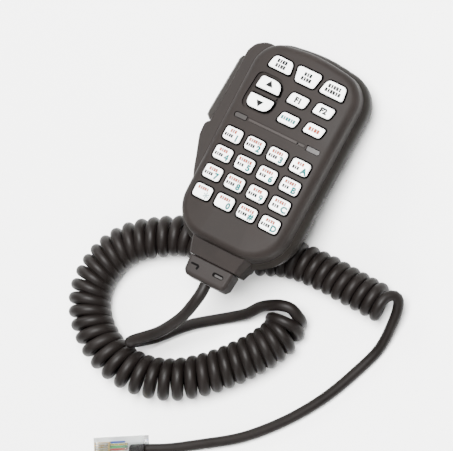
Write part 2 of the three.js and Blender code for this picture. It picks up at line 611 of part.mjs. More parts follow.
// The modular plug, drawn with its cable end at X = 0 and its nose towards +X.
function addPlug() {
  const plug = new THREE.Group();
  const wedge = (stations) => hull(stations.flatMap(([x, wide, low, high]) => [
    new THREE.Vector3(x, -wide, low), new THREE.Vector3(x, wide, low),
    new THREE.Vector3(x, -wide, high), new THREE.Vector3(x, wide, high),
  ]));
  const blades = join(...[-3.5, -2.5, -1.5, -0.5, 0.5, 1.5, 2.5, 3.5].map((step) => (
    box([PLUG_LENGTH - 6.2, PLUG_LENGTH - 0.3], [step * 1.02 - 0.15, step * 1.02 + 0.15], [0.5, 2.3])
  )), box([PLUG_LENGTH - 6.2, PLUG_LENGTH - 5.4], [-3.72, 3.72], [1.5, 2.3]));
  const slots = join(...[-3.5, -2.5, -1.5, -0.5, 0.5, 1.5, 2.5, 3.5].map((step) => (
    box([PLUG_LENGTH - 6.5, PLUG_LENGTH + 1], [step * 1.02 - 0.35, step * 1.02 + 0.35], [-1, 2.6])
  )), box([PLUG_LENGTH - 6.5, PLUG_LENGTH - 5.1], [-4.02, 4.02], [1.2, 2.6]));
  const rear = box([-1, 9.2], [-3, 3], [0.8, 5.7]);
  const shell = wedge([[0, PLUG_HALF, 0.1, PLUG_HIGH - 0.1], [PLUG_LENGTH, PLUG_HALF, 0, PLUG_HIGH]]);
  addPiece('plug_body', 'clear', shell.subtract(rear).subtract(slots), plug);
  addPiece('plug_contacts', 'gold', blades, plug);
  addPiece('plug_latch', 'clear', wedge([
    [PLUG_LENGTH - 0.6, 1.6, PLUG_HIGH + 0.3, PLUG_HIGH + 1.2],
    [PLUG_LENGTH - 7, 1.6, PLUG_HIGH + 0.6, PLUG_HIGH + 1.7],
    [PLUG_LENGTH - 8, 3, PLUG_HIGH + 0.7, PLUG_HIGH + 1.8],
    [PLUG_LENGTH - 15.5, 3, PLUG_HIGH + 1.6, PLUG_HIGH + 2.6],
  ]), plug);
  plug.position.set(...PLUG_REAR);
  plug.rotation.z = PLUG_TURN;
  root.add(plug);
}

// ---------------------------------------------------------------- assembly

addPiece('front_case', 'case', frontCase());
addPiece('back_case', 'case', backCase());
addKeypad();
addFaceDetails();
addTalkBar();
addBoard();
addGland();
addInnerLead((GLAND_Z[0] + GLAND_Z[1]) / 2);
addFasteners();
addCord();
addPlug();

microphone.rotation.x = -TIP_ANGLE;
root.updateMatrixWorld(true);
const reach = new THREE.Box3().setFromObject(microphone, true);
const centre = reach.getCenter(new THREE.Vector3());
microphone.position.set(-centre.x, REST_Y - centre.y, -reach.min.z);

export default root;
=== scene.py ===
# %% [markdown]
# # A hand microphone with a keypad and a curly cord
# The real object is a small two-way radio microphone: a palm-sized charcoal case with white
# keys, a talk bar along its left edge, and a curly cord that ends in a clear modular plug.
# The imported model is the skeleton. This file adds what the eye sees: the cord at its real
# length, softened edges on every moulding, printing on the keys, and the finishes.

# %% Load the frame
import json
import math
import bmesh
import bpy
from mathutils import Matrix, Vector

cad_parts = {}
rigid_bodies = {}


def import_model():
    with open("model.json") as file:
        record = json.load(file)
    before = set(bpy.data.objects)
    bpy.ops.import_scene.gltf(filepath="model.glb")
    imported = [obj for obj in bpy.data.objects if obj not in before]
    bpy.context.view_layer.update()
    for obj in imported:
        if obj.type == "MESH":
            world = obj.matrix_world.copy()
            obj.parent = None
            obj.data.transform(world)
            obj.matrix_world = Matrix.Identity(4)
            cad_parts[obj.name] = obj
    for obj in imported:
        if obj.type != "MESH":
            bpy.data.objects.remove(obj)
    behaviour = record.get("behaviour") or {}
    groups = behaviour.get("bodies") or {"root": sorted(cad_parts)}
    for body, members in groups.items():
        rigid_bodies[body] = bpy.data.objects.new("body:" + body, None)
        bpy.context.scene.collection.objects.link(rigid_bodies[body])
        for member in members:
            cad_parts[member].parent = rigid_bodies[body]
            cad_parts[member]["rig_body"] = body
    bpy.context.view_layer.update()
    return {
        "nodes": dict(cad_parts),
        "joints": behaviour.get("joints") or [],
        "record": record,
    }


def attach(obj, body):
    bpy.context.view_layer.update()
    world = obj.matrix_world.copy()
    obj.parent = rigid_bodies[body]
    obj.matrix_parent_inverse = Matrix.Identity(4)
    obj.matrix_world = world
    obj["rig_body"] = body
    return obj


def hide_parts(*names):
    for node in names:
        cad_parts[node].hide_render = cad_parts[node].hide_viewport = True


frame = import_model()
nodes = frame["nodes"]
MM = 0.001

# %% [markdown]
# ## Where the hand unit sits
# The hand unit lies tipped on the surface, so its pieces are easiest to model in its own
# frame, X across the keypad, Y towards its top end, and Z out of its face, and are then moved
# once. The talk bar's hinge gives that move: its axis is the face's normal turned round, and
# its point is known in both frames.

# %% The hand unit's own frame
hinge = next(j for j in frame["joints"] if j["name"] == "talk_bar_squeeze")
HINGE_POINT = Vector((-29.4, 12.4, 13.0)) * MM
tip = math.atan2(-hinge["axis"][1], -hinge["axis"][2])
turn = Matrix.Rotation(-tip, 4, "X")
UNIT = Matrix.Translation(Vector(hinge["pos_m"]) - turn @ HINGE_POINT) @ turn
print("tipped by", round(math.degrees(tip), 2), "degrees")

# %% [markdown]
# ## Camera and light
# A long lens from far away keeps the shapes nearly free of perspective, as a catalogue wants
# them. The camera leans, so that the hand unit's axis runs up to the right.
# Three large soft lamps and a pale world give even studio light with gentle highlights.

# %% Camera
VIEW_FROM = Vector((0.3412, 0.1267, 0.9314))
VIEW_UP = Vector((-0.4201, 0.9070, 0.0305))
AIM = Vector((3.20, -24.38, 40.15)) * MM
DISTANCE = 1.4
FRAME_WIDTH = 0.18266

camera_data = bpy.data.cameras.new("camera")
camera_data.sensor_width = 36
camera_data.lens = 36 * DISTANCE / FRAME_WIDTH
camera_data.clip_start = 0.05
camera_data.clip_end = 20
camera = bpy.data.objects.new("camera", camera_data)
bpy.context.scene.collection.objects.link(camera)
view_right = VIEW_UP.cross(VIEW_FROM).normalized()
view_up = VIEW_FROM.cross(view_right).normalized()
axes = Matrix((view_right, view_up, VIEW_FROM.normalized())).transposed().to_4x4()
camera.matrix_world = Matrix.Translation(AIM + VIEW_FROM.normalized() * DISTANCE) @ axes
bpy.context.scene.camera = camera


# %% Lamps, world and floor
def add_lamp(name, place, size, power):
    lamp = bpy.data.lights.new(name, "AREA")
    lamp.shape = "DISK"
    lamp.size = size
    lamp.energy = power
    holder = bpy.data.objects.new(name, lamp)
    bpy.context.scene.collection.objects.link(holder)
    towards_aim = (Vector(place) - AIM).to_track_quat("Z", "Y").to_matrix().to_4x4()
    holder.matrix_world = Matrix.Translation(place) @ towards_aim


add_lamp("overhead_lamp", (0.12, 0.30, 1.35), 0.7, 105)
add_lamp("left_lamp", (-1.2, 0.7, 0.9), 0.9, 34)
add_lamp("near_lamp", (0.2, -1.3, 1.1), 0.9, 14)

world = bpy.data.worlds.new("studio")
world.use_nodes = True
world.node_tree.nodes["Background"].inputs["Color"].default_value = (1, 1, 1, 1)
world.node_tree.nodes["Background"].inputs["Strength"].default_value = 0.7
bpy.context.scene.world = world


# %% Small helpers for meshes
def new_piece(name, mesh_maker, place=None):
    """A mesh object made by mesh_maker(bm), with its place put into its mesh."""
    bm = bmesh.new()
    mesh_maker(bm)
    if place is not None:
        bmesh.ops.transform(bm, matrix=place, verts=bm.verts)
    mesh = bpy.data.meshes.new(name)
    bm.to_mesh(mesh)
    bm.free()
    piece = bpy.data.objects.new(name, mesh)
    bpy.context.scene.collection.objects.link(piece)
    return piece


floor = new_piece("floor", lambda bm: bmesh.ops.create_grid(bm, x_segments=1, y_segments=1, size=3))


# %% [markdown]
# ## Node groups that several finishes share
# Moulded plastic and rubber are never perfectly even. A group holds each effect once, and
# each material gives it its own scale and strength.

# %% Grain and mottle groups
def start_group(name, inputs, outputs):
    group = bpy.data.node_groups.new(name, "ShaderNodeTree")
    for label, kind, value in inputs:
        socket = group.interface.new_socket(label, in_out="INPUT", socket_type=kind)
        socket.default_value = value
    for label, kind in outputs:
        group.interface.new_socket(label, in_out="OUTPUT", socket_type=kind)
    entry = group.nodes.new("NodeGroupInput")
    leave = group.nodes.new("NodeGroupOutput")
    return group, entry, leave


def make_grain_group():
    """The fine even stipple of a moulding tool, as a height between 0 and 1."""
    group, entry, leave = start_group(
        "moulded grain",
        [("Vector", "NodeSocketVector", (0, 0, 0)), ("Scale", "NodeSocketFloat", 2500.0)],
        [("Height", "NodeSocketFloat")],
    )
    cells = group.nodes.new("ShaderNodeTexVoronoi")
    soft = group.nodes.new("ShaderNodeTexNoise")
    soft.inputs["Detail"].default_value = 3
    mix = group.nodes.new("ShaderNodeMath")
    mix.operation = "MULTIPLY_ADD"
    mix.inputs[1].default_value = 0.55
    for texture in (cells, soft):
        group.links.new(entry.outputs["Vector"], texture.inputs["Vector"])
        group.links.new(entry.outputs["Scale"], texture.inputs["Scale"])
    group.links.new(cells.outputs["Distance"], mix.inputs[0])
    group.links.new(soft.outputs["Fac"], mix.inputs[2])
    group.links.new(mix.outputs[0], leave.inputs["Height"])
    return group


def make_mottle_group():
    """Slow variation between two colours and two roughnesses, as on handled plastic."""
    group, entry, leave = start_group(
        "handled mottle",
        [
            ("Vector", "NodeSocketVector", (0, 0, 0)),
            ("Scale", "NodeSocketFloat", 60.0),
            ("Dark", "NodeSocketColor", (0, 0, 0, 1)),
            ("Light", "NodeSocketColor", (1, 1, 1, 1)),
            ("Rough Low", "NodeSocketFloat", 0.4),
            ("Rough High", "NodeSocketFloat", 0.6),
        ],
        [("Color", "NodeSocketColor"), ("Roughness", "NodeSocketFloat")],
    )
    noise = group.nodes.new("ShaderNodeTexNoise")
    noise.inputs["Detail"].default_value = 6
    noise.inputs["Roughness"].default_value = 0.6
    spread = group.nodes.new("ShaderNodeMapRange")
    spread.inputs["From Min"].default_value = 0.35
    spread.inputs["From Max"].default_value = 0.65
    tint = group.nodes.new("ShaderNodeMix")
    tint.data_type = "RGBA"
    rough = group.nodes.new("ShaderNodeMapRange")
    link = group.links.new
    link(entry.outputs["Vector"], noise.inputs["Vector"])
    link(entry.outputs["Scale"], noise.inputs["Scale"])
    link(noise.outputs["Fac"], spread.inputs["Value"])
    link(spread.outputs["Result"], tint.inputs["Factor"])
    link(entry.outputs["Dark"], tint.inputs["A"])
    link(entry.outputs["Light"], tint.inputs["B"])
    link(spread.outputs["Result"], rough.inputs["Value"])
    link(entry.outputs["Rough Low"], rough.inputs["To Min"])
    link(entry.outputs["Rough High"], rough.inputs["To Max"])
    link(tint.outputs["Result"], leave.inputs["Color"])
    link(rough.outputs["Result"], leave.inputs["Roughness"])
    return group


GRAIN = make_grain_group()
MOTTLE = make_mottle_group()


# %% One builder for the moulded finishes
def moulded(name, dark, light, rough, grain_scale, grain_depth, mottle_scale=60.0, **fixed):
    """A moulded material: colours and roughness from the mottle, bump from the grain."""
    material = bpy.data.materials.new(name)
    material.use_nodes = True
    tree = material.node_tree
    shader = tree.nodes["Principled BSDF"]
    place = tree.nodes.new("ShaderNodeTexCoord")
    mottle = tree.nodes.new("ShaderNodeGroup")
    mottle.node_tree = MOTTLE
    mottle.inputs["Scale"].default_value = mottle_scale
    mottle.inputs["Dark"].default_value = (*dark, 1)
    mottle.inputs["Light"].default_value = (*light, 1)
    mottle.inputs["Rough Low"].default_value = rough[0]
    mottle.inputs["Rough High"].default_value = rough[1]
    grain = tree.nodes.new("ShaderNodeGroup")
    grain.node_tree = GRAIN
    grain.inputs["Scale"].default_value = grain_scale
    bump = tree.nodes.new("ShaderNodeBump")
    bump.inputs["Strength"].default_value = 0.5
    bump.inputs["Distance"].default_value = grain_depth
    link = tree.links.new
    link(place.outputs["Object"], mottle.inputs["Vector"])
    link(place.outputs["Object"], grain.inputs["Vector"])
    link(mottle.outputs["Color"], shader.inputs["Base Color"])
    link(mottle.outputs["Roughness"], shader.inputs["Roughness"])
    link(grain.outputs["Height"], bump.inputs["Height"])
    link(bump.outputs["Normal"], shader.inputs["Normal"])
    for socket, value in fixed.items():
        shader.inputs[socket.replace("_", " ")].default_value = value
    return material


CASE = moulded(
    "charcoal case plastic", (0.0080, 0.0063, 0.0056), (0.0110, 0.0087, 0.0078), (0.54, 0.64),
    2600, 0.00006, Specular_IOR_Level=0.08,
)
# Darker than the front case plastic: painted shade for its sides, which face away from the light.
BACK = moulded(
    "back case plastic with painted shade", (0.0050, 0.0041, 0.0034), (0.0075, 0.0062, 0.0052), (0.50, 0.60),
    2600, 0.00006, Specular_IOR_Level=0.06,
)
BAR = moulded(
    "talk bar plastic", (0.0070, 0.0058, 0.0050), (0.0100, 0.0083, 0.0072), (0.46, 0.56),
    2600, 0.00004, Specular_IOR_Level=0.1,
)
KEY = moulded(
    "white key plastic", (0.88, 0.88, 0.865), (0.92, 0.92, 0.91), (0.32, 0.42), 1800, 0.00001,
)
# Painted shade: a near-black finish for walls and sides down in gaps and recesses, where shade falls.
PAINTED_SHADE = moulded(
    "painted recess shade", (0.0010, 0.0009, 0.0008), (0.0016, 0.0014, 0.0013), (0.6, 0.7),
    1500, 0.00002, Specular_IOR_Level=0.02,
)
LENS = moulded(
    "smoked lamp lens", (0.011, 0.0092, 0.0084), (0.015, 0.0128, 0.0117), (0.4, 0.5),
    900, 0.00001, Specular_IOR_Level=0.2,
)
RUBBER = moulded(
    "dark rubber", (0.0078, 0.0061, 0.0055), (0.0108, 0.0086, 0.0078), (0.5, 0.62),
    1500, 0.00004, Specular_IOR_Level=0.1,
)
CORD = moulded(
    "satin cord jacket", (0.0034, 0.0025, 0.0021), (0.0052, 0.0039, 0.0034), (0.46, 0.54),
    900, 0.00003, Specular_IOR_Level=0.11,
)
STEEL = moulded(
    "plated steel", (0.55, 0.55, 0.56), (0.62, 0.62, 0.63), (0.25, 0.35), 700, 0.00001,
    Metallic=1.0,
)
GOLD = moulded(
    "gold plate", (0.80, 0.55, 0.20), (0.85, 0.60, 0.24), (0.2, 0.3), 700, 0.00001, Metallic=1.0,
)
BOARD = moulded(
    "green solder mask", (0.02, 0.09, 0.04), (0.03, 0.11, 0.05), (0.35, 0.45), 900, 0.00001,
)
CHIP = moulded(
    "chip epoxy", (0.02, 0.02, 0.02), (0.03, 0.03, 0.03), (0.5, 0.6), 1500, 0.00002,
)
MAT_RUBBER = moulded(
    "dark key mat", (0.020, 0.019, 0.018), (0.030, 0.028, 0.026), (0.6, 0.7), 1500, 0.00002,
)
FLOOR = moulded(
    "pale studio floor", (0.90, 0.90, 0.89), (0.92, 0.92, 0.91), (0.8, 0.9), 40, 0.0001, 2.0,
)
floor.data.materials.append(FLOOR)
print("finishes:", len(bpy.data.materials))

# %% [markdown]
# ## The cord
# The real cord is one rubber-jacketed cable, 4.8 mm thick. It leaves the hand unit straight,
# folds back on itself, runs to the curl, and after more than fifty close turns runs straight
# again to the plug. A curve with a round bevel is the natural way to make it: the straight
# stretches pass through a few listed points, and a loop winds the curl round its route.

# %% The cord's route
CORD_RADIUS = 2.4 * MM
TURN_STEPS = 26  # points in each turn
LEAN = Vector((0.10, 0.32, 0))  # how far a turn leans where the route runs along X, and along Y
# Where the cord enters its first turn, and where it leaves its last, from 0 at the turn's top.
START_TURN = 0.25
END_TURN = 0.05
CURL_CLEARANCE = 0.1 * MM
LEAD_STEP = 1.5 * MM
ROUTE_STEP = 0.2 * MM
SLOPE_SPAN = 8  # route points to each side that give the route's direction

MIC_TAIL = [
    (3.6, -50.65, 35.7), (3.6, -54.5, 36.4), (2.6, -58.6, 36), (-1.1, -66.5, 32), (-6, -73.2, 27.8),
    (-10.8, -78.6, 24.6), (-15.4, -82.6, 22.9), (-20.3, -86.6, 21.3), (-23.1, -89, 17.6),
    (-23.7, -89.3, 12.6), (-22.6, -88.2, 7.6), (-20.4, -86.3, 3.9), (-16.6, -82.6, 2.6),
    (-11.5, -77.3, 2.5), (-6.5, -72.8, 2.5), (-1.8, -69.4, 2.5), (2.9, -66.2, 2.6),
    (9.2, -61.9, 3.4), (14.5, -58, 5.4), (19.8, -52.6, 9), (25.2, -49.2, 12.6), (29.8, -47.2, 14.7),
    (33.8, -46.6, 14.2), (36.9, -48.4, 11.9),
]
CURL_ROUTE = [
    (32, -51.4), (33, -57.2), (32, -60.8), (27.7, -68.5), (22.5, -75), (17.8, -80.4), (13.1, -85),
    (7.2, -90.1), (-1.9, -96.1), (-12.2, -100), (-23.3, -101), (-34.4, -98.4), (-43.2, -92.7),
    (-49, -85.6), (-52, -76.5), (-51, -66.2), (-47, -57.2), (-41.1, -50.7), (-34.2, -46.1),
    (-28, -42.5), (-22.1, -40.2), (1.2, -37), (24.1, -29.1), (38.8, -28), (50.3, -28.4),
    (61.7, -28.8), (67.4, -28.9),
]
PLUG_TAIL = [
    (68.8, -24.8, 12.5), (70.6, -23.4, 10.9), (72.4, -24.2, 9.2), (73.4, -27.4, 8),
    (73.6, -32, 6.8), (73.2, -37.5, 5.2), (72.6, -42.5, 3.7),
    (71.2, -48.5, 2.5), (65.7, -61.9, 2.5), (59.4, -74.4, 2.5), (51.2, -86.6, 2.5),
    (41.9, -97.5, 2.5), (32.2, -106.6, 2.5), (17.6, -116.7, 2.5), (6.2, -124.1, 2.8), (-2.3, -128.6, 3.2),
]
# Along the curl, from 0 at the hand unit's end to 1 at the plug's: how far apart the turns lie,
# how wide they wind, and how thick the cord is. Handling has spread and squeezed the turns.
TURN_PITCH = [
    (0, 4.3), (0.08, 4.5), (0.2, 5.7), (0.3, 5.8), (0.42, 4.6), (0.52, 4.6), (0.62, 5.4),
    (0.75, 4.8), (1, 4.6),
]
TURN_RADIUS = [(0, 6.3), (0.2, 6.55), (0.45, 6.55), (0.62, 6.3), (0.75, 5.9), (1, 5.75)]
CORD_SWELL = [(0, 1.0), (0.2, 1.04), (0.45, 1.04), (0.7, 0.98), (1, 0.93)]


def read_table(table, share):
    """The value at share in a table of (share, value) pairs, in straight lines between them."""
    for (s0, v0), (s1, v1) in zip(table, table[1:]):
        if share <= s1:
            return v0 + (v1 - v0) * (share - s0) / (s1 - s0)
    return table[-1][1]


def smooth_path(points, step, before=None, after=None):
    """Points every step along a smooth curve through the given points (centripetal splines).

    before and after are points further along the line at its ends, which settle its slope there.
    """
    points = [Vector(p) for p in points]
    first = before or points[0] * 2 - points[1]
    last = after or points[-1] * 2 - points[-2]
    whole = [first, *points, last]
    dense = []
    for a, b, c, d in zip(whole, whole[1:], whole[2:], whole[3:]):
        t1 = (b - a).length ** 0.5
        t2 = t1 + (c - b).length ** 0.5
        t3 = t2 + (d - c).length ** 0.5
        count = max(2, round((c - b).length / (step / 4)))
        for i in range(count):
            t = t1 + (t2 - t1) * i / count
            ab = a.lerp(b, t / t1)
            bc = b.lerp(c, (t - t1) / (t2 - t1))
            cd = c.lerp(d, (t - t2) / (t3 - t2))
            abc = ab.lerp(bc, t / t2)
            bcd = bc.lerp(cd, (t - t1) / (t3 - t1))
            dense.append(abc.lerp(bcd, (t - t1) / (t2 - t1)))
    dense.append(points[-1])
    return evenly(dense, step)


def evenly(dense, step):
    """The same line with points every step along it."""
    total = sum((b - a).length for a, b in zip(dense, dense[1:]))
    count = max(2, round(total / step))
    spaced = [dense[0]]
    walked = 0.0
    for a, b in zip(dense, dense[1:]):
        span = (b - a).length
        while len(spaced) < count and walked + span >= total * len(spaced) / count:
            spaced.append(a.lerp(b, (total * len(spaced) / count - walked) / span))
        walked += span
    spaced.append(dense[-1])
    return spaced


# %% Winding the curl
def wind_curl():
    """The curl's centreline: left-handed turns round the route, leaning a little along it."""
    route = smooth_path([(x * MM, y * MM, 0) for x, y in CURL_ROUTE], ROUTE_STEP)
    gap = sum((b - a).length for a, b in zip(route, route[1:])) / (len(route) - 1)
    turned = [START_TURN]
    for k in range(1, len(route)):
        turned.append(turned[-1] + gap / (read_table(TURN_PITCH, k / len(route)) * MM))
    whole = round(turned[-1]) + END_TURN
    stretch = (whole - START_TURN) / (turned[-1] - START_TURN)
    turned = [START_TURN + (t - START_TURN) * stretch for t in turned]
    steps = round((whole - START_TURN) * TURN_STEPS)
    line, shares, k = [], [], 0
    for i in range(steps + 1):
        turn_now = START_TURN + (whole - START_TURN) * i / steps
        while k < len(route) - 2 and turned[k + 1] < turn_now:
            k += 1
        part = min(1.0, (turn_now - turned[k]) / (turned[k + 1] - turned[k]))
        share = (k + part) / (len(route) - 1)
        centre = route[k].lerp(route[k + 1], part)
        after = route[min(k + SLOPE_SPAN, len(route) - 1)]
        ahead = (after - route[max(k - SLOPE_SPAN, 0)]).normalized()
        across = Vector((0, 0, 1)).cross(ahead)
        radius = read_table(TURN_RADIUS, share) * MM
        height = math.cos(math.tau * turn_now) * radius
        side = math.sin(math.tau * turn_now) * radius
        lift = radius + CORD_RADIUS + CURL_CLEARANCE + height
        lean = ahead * height * LEAN.dot(ahead)
        line.append(centre + Vector((0, 0, lift)) + across * side + lean)
        shares.append(share)
    return line, shares, whole - START_TURN


curl_line, curl_shares, turns = wind_curl()
mic_points = [Vector(p) * MM for p in MIC_TAIL]
plug_points = [Vector(p) * MM for p in PLUG_TAIL]
lead_in = smooth_path(mic_points + curl_line[:1], LEAD_STEP, after=curl_line[4])[:-1]
lead_out = smooth_path(curl_line[-1:] + plug_points, LEAD_STEP, before=curl_line[-5])[1:]
cord_line = lead_in + curl_line + lead_out
cord_swell = (
    [CORD_SWELL[0][1]] * len(lead_in)
    + [read_table(CORD_SWELL, share) for share in curl_shares]
    + [CORD_SWELL[-1][1]] * len(lead_out)
)


# %% The cord as a curve
def cord_curve(name, line, swell, radius, roundness):
    """A round cord along a line, a little thicker or thinner by swell at each point."""
    curve = bpy.data.curves.new(name, "CURVE")
    curve.dimensions = "3D"
    spline = curve.splines.new("POLY")
    spline.points.add(len(line) - 1)
    for point, place, wide in zip(spline.points, line, swell):
        point.co = (*place, 1)
        point.radius = wide
    spline.use_smooth = True
    curve.bevel_depth = radius
    curve.bevel_resolution = roundness
    curve.use_fill_caps = True
    piece = bpy.data.objects.new(name, curve)
    bpy.context.scene.collection.objects.link(piece)
    return piece


cord = cord_curve("curly_cord", cord_line, cord_swell, CORD_RADIUS, 6)
cord.data.materials.append(CORD)
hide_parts("cord_mic_tail", "cord_curl", "cord_plug_tail")
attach(cord, "microphone")


# %% [markdown]
# ## The mouldings
# Real mouldings have no knife edges: the tool leaves every edge with a small radius, and that
# radius is what catches the light. The imported parts have the right shapes with sharp edges, so
# each visible one is copied, its loose triangles are joined into whole faces, and its edges are
# rounded with the bevel operator. Faces down in the gaps round the keys get a near-black finish,
# a painted shade.

# %% The crown of the face, in the hand unit's frame
FACE_Z = 26 * MM
CROWN_RADIUS = 150 * MM
KEY_PROUD = 0.7 * MM


def crown(x):
    """The height of the keypad face at x: a wide cylinder along Y."""
    return FACE_Z - x * x / (2 * CROWN_RADIUS)


def unit_box(node):
    """A node's lowest and highest corners in the hand unit's frame."""
    back = UNIT.inverted()
    points = [back @ v.co for v in nodes[node].data.vertices]
    low = Vector([min(p[i] for p in points) for i in range(3)])
    high = Vector([max(p[i] for p in points) for i in range(3)])
    return low, high


# %% Rounding a moulding
def refine(node, materials, width=0.3 * MM, angle=28, segments=2, shade=None):
    """A copy of a node with whole faces and rounded edges. shade picks faces for materials[1], the
    near-black painted shade.
    """
    source = nodes[node]
    bm = bmesh.new()
    bm.from_mesh(source.data)
    bmesh.ops.remove_doubles(bm, verts=bm.verts, dist=0.002 * MM)
    bmesh.ops.dissolve_limit(
        bm, angle_limit=math.radians(0.4), verts=bm.verts, edges=bm.edges,
        use_dissolve_boundaries=False,
    )
    limit = math.radians(angle)
    sharp = [e for e in bm.edges if len(e.link_faces) == 2 and e.calc_face_angle(0) > limit]
    bmesh.ops.bevel(
        bm, geom=sharp, offset=width, offset_type="OFFSET", affect="EDGES", segments=segments,
        profile=0.5, material=-1, clamp_overlap=True,
    )
    if shade:
        back = UNIT.inverted()
        untip = back.to_3x3()
        for face in bm.faces:
            shaded = shade(back @ face.calc_center_median(), untip @ face.normal)
            face.material_index = 1 if shaded else 0
    mesh = bpy.data.meshes.new(node + "_moulding")
    bm.to_mesh(mesh)
    bm.free()
    piece = bpy.data.objects.new(node + "_moulding", mesh)
    bpy.context.scene.collection.objects.link(piece)
    for material in materials:
        mesh.materials.append(material)
    mesh.shade_smooth()
    mesh.set_sharp_from_angle(angle=math.radians(32))
    weigh = piece.modifiers.new("even shading", "WEIGHTED_NORMAL")
    weigh.keep_sharp = True
    settle(piece, source["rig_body"])
    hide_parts(node)
    return piece


def settle(piece, body):
    """A piece rides on a body."""
    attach(piece, body)


# %% Mouldings and small parts, node by node
slot_of = {s["node"]: s["material_slot"] for s in frame["record"]["subparts"]}
FINISH = {
    "case": CASE, "keys": KEY, "bar": BAR, "rubber": RUBBER, "mat": MAT_RUBBER, "lens": LENS,
    "steel": STEEL, "gold": GOLD, "board": BOARD, "chip": CHIP, "cord": CORD,
}


# The part of the face that holds the keys, in plan, with round corners at its top end.
KEYS_HALF_WIDTH = 20.9 * MM
KEYS_LOW_END = -24 * MM
KEYS_TOP_END = 46.5 * MM
CORNER_X = 12.6 * MM
CORNER_Y = 39.4 * MM
CORNER_RADIUS = 8.4 * MM
LEAST_DEPTH = 0.05 * MM
MOST_DEPTH = 4 * MM
STEEP = 0.93  # a face that points up less than this is a wall


def takes_painted_shade(p, facing):
    """A wall of a key's hole or of the recess, which gets the painted shade, and not the rolled edge of
    the case.
    """
    corner = Vector((max(abs(p.x) - CORNER_X, 0), max(p.y - CORNER_Y, 0)))
    on_face = abs(p.x) < KEYS_HALF_WIDTH and KEYS_LOW_END < p.y < KEYS_TOP_END
    in_depth = LEAST_DEPTH < crown(p.x) - p.z < MOST_DEPTH
    return on_face and corner.length < CORNER_RADIUS and facing.z < STEEP and in_depth


keys = [node for node in nodes if slot_of[node] == "keys"]
# The walls of the key holes and recesses in the face get the painted shade.
refine("front_case", [CASE, PAINTED_SHADE], shade=takes_painted_shade)
refine("back_case", [BACK])
refine("talk_bar", [BAR])
refine("cord_gland", [RUBBER], width=0.6 * MM, segments=3)
# A key's sides below the face get the painted shade, for the dark ring of shade round each cap.
for key in keys:
    refine(
        key, [KEY, PAINTED_SHADE], width=0.25 * MM, segments=3, shade=lambda p, facing: crown(p.x) > p.z)
# A lens's rounded edge and sides get the painted shade, for the dark outline of shade round it.
for lens in ("left_lamp_lens", "right_lamp_lens"):
    refine(
        lens, [LENS, PAINTED_SHADE], width=0.45 * MM, segments=3, shade=lambda p, facing: facing.z < 0.97)
for node, piece in nodes.items():
    if slot_of[node] in FINISH and node not in keys:
        piece.data.materials.clear()
        piece.data.materials.append(FINISH[slot_of[node]])
print("keys rounded:", len(keys))

# %% [markdown]
# ## Marks on the gland
# The rubber gland is moulded with a small hook on its left and a raised rib in a dark pocket on
# its right. They are shallow, so thin rounded bars laid half into its front face give them: the
# hook and the pocket are painted near-black as shade, and the rib is painted lighter as a highlight.

# %% Gland marks
def gland_bar(name, material, x, y, width, height, depth, turned=0.0):
    """A rounded bar on the gland's front face, at x, y in the hand unit's frame."""
    def draw(bm):
        shape = Matrix.Diagonal((width, height, depth, 1))
        bmesh.ops.create_cube(bm, size=1, matrix=shape)
        upright = [e for e in bm.edges if abs(e.verts[0].co.z - e.verts[1].co.z) > depth / 2]
        bmesh.ops.bevel(
            bm, geom=upright, offset=min(width, height) * 0.42, affect="EDGES", segments=3,
            profile=0.5, material=-1,
        )

    middle = Matrix.Translation((x, y, unit_box("cord_gland")[1].z))
    piece = new_piece(name, draw, UNIT @ middle @ Matrix.Rotation(math.radians(turned), 4, "Z"))
    piece.data.materials.append(material)
    settle(piece, "microphone")


# The hook and the pocket are drawn near-black, as painted shade in their hollows.
gland_bar("gland_hook_arm", PAINTED_SHADE, -6.3 * MM, -46.1 * MM, 3.6 * MM, 0.8 * MM, 0.10 * MM, 2)
gland_bar("gland_hook_tip", PAINTED_SHADE, -4.6 * MM, -46.9 * MM, 0.9 * MM, 1.9 * MM, 0.12 * MM, -14)
gland_bar("gland_pocket", PAINTED_SHADE, 4.9 * MM, -46.4 * MM, 5.0 * MM, 1.9 * MM, 0.08 * MM)
# The rib is drawn in the lighter lens finish, as a painted highlight along it.
gland_bar("gland_rib", LENS, 5.3 * MM, -46.55 * MM, 3.7 * MM, 0.9 * MM, 0.3 * MM)

# %% [markdown]
# ## The modular plug
# The real plug is moulded in clear polycarbonate, so the cut end of the jacket, the eight
# coloured wires and the gold blades show through it. Light has to pass through the body, so its
# finish is a plain clear dielectric, and the wires are simple rods that lie inside it.

# %% Clear plastic and wire colours
CLEAR = bpy.data.materials.new("clear polycarbonate")
CLEAR.use_nodes = True
clear = CLEAR.node_tree.nodes["Principled BSDF"]
clear.inputs["Transmission Weight"].default_value = 1.0
clear.inputs["IOR"].default_value = 1.45
haze = CLEAR.node_tree.nodes.new("ShaderNodeTexCoord")
scuffs = CLEAR.node_tree.nodes.new("ShaderNodeGroup")
scuffs.node_tree = MOTTLE
scuffs.inputs["Scale"].default_value = 400
scuffs.inputs["Dark"].default_value = (0.90, 0.93, 0.93, 1)
scuffs.inputs["Light"].default_value = (0.97, 0.98, 0.98, 1)
scuffs.inputs["Rough Low"].default_value = 0.03
scuffs.inputs["Rough High"].default_value = 0.10
CLEAR.node_tree.links.new(haze.outputs["Object"], scuffs.inputs["Vector"])
CLEAR.node_tree.links.new(scuffs.outputs["Color"], clear.inputs["Base Color"])
CLEAR.node_tree.links.new(scuffs.outputs["Roughness"], clear.inputs["Roughness"])

WIRE_COLOURS = {
    "blue": (0.02, 0.06, 0.30), "yellow": (0.55, 0.40, 0.02), "green": (0.02, 0.26, 0.06),
    "red": (0.42, 0.03, 0.03), "white": (0.6, 0.6, 0.58), "black": (0.01, 0.01, 0.01),
    "pink": (0.55, 0.16, 0.16), "grey": (0.20, 0.20, 0.20),
}

